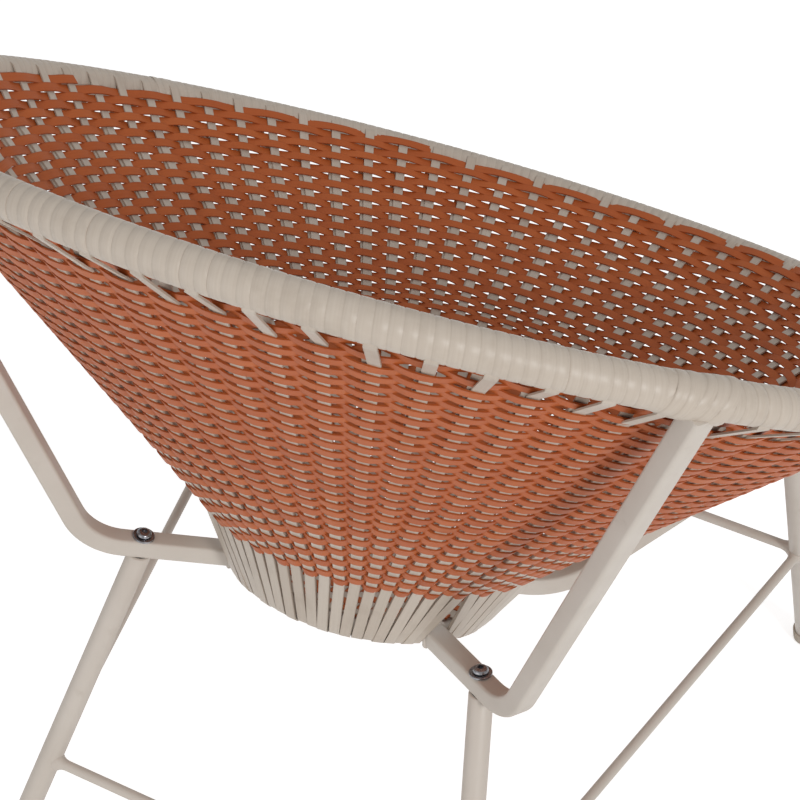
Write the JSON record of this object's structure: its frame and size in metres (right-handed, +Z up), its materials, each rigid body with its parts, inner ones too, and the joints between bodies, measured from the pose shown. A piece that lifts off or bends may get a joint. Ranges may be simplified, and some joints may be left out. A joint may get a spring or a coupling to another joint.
{
  "type": "acapulco chair",
  "caption": "Round conical lounge chair of woven flat strap on a tilted hoop, with bent square arms and splayed tube legs tied by thin rods.",
  "frame": {"origin": "on the floor, in the middle of the chair's overall footprint box", "axes": "+Z up, the sitter faces -Y, X runs across the chair and the chair is symmetric about the plane X = 0"},
  "size_m": [0.773, 0.717, 0.8074],
  "materials": {
    "frame_paint": "satin powder coat",
    "strap_beige": "satin extruded strap",
    "strap_terracotta": "satin extruded strap",
    "fastener_steel": "bright stainless",
    "foot_plastic": "matt moulded"
  },
  "bodies": {
    "root": {"hoop": "frame_paint", "base_ring": "frame_paint", "arm_back_left": "frame_paint", "leg_back_left": "frame_paint", "insert_back_left": "fastener_steel", "bolt_back_left": "fastener_steel", "washer_back_left": "fastener_steel", "foot_back_left": "foot_plastic", "joint_wrap_back_left": "strap_beige", "arm_back_right": "frame_paint", "leg_back_right": "frame_paint", "insert_back_right": "fastener_steel", "bolt_back_right": "fastener_steel", "washer_back_right": "fastener_steel", "foot_back_right": "foot_plastic", "joint_wrap_back_right": "strap_beige", "arm_front_left": "frame_paint", "leg_front_left": "frame_paint", "insert_front_left": "fastener_steel", "bolt_front_left": "fastener_steel", "washer_front_left": "fastener_steel", "foot_front_left": "foot_plastic", "joint_wrap_front_left": "strap_beige", "arm_front_right": "frame_paint", "leg_front_right": "frame_paint", "insert_front_right": "fastener_steel", "bolt_front_right": "fastener_steel", "washer_front_right": "fastener_steel", "foot_front_right": "foot_plastic", "joint_wrap_front_right": "strap_beige", "stretcher_back": "frame_paint", "hoop_wrap_back": "strap_beige", "stretcher_front": "frame_paint", "hoop_wrap_front": "strap_beige", "stretcher_left": "frame_paint", "hoop_wrap_left": "strap_beige", "stretcher_right": "frame_paint", "hoop_wrap_right": "strap_beige", "woven_wall": "strap_terracotta", "strap_skirt": "strap_beige", "woven_bottom": "strap_terracotta"}
  },
  "joints": []
}
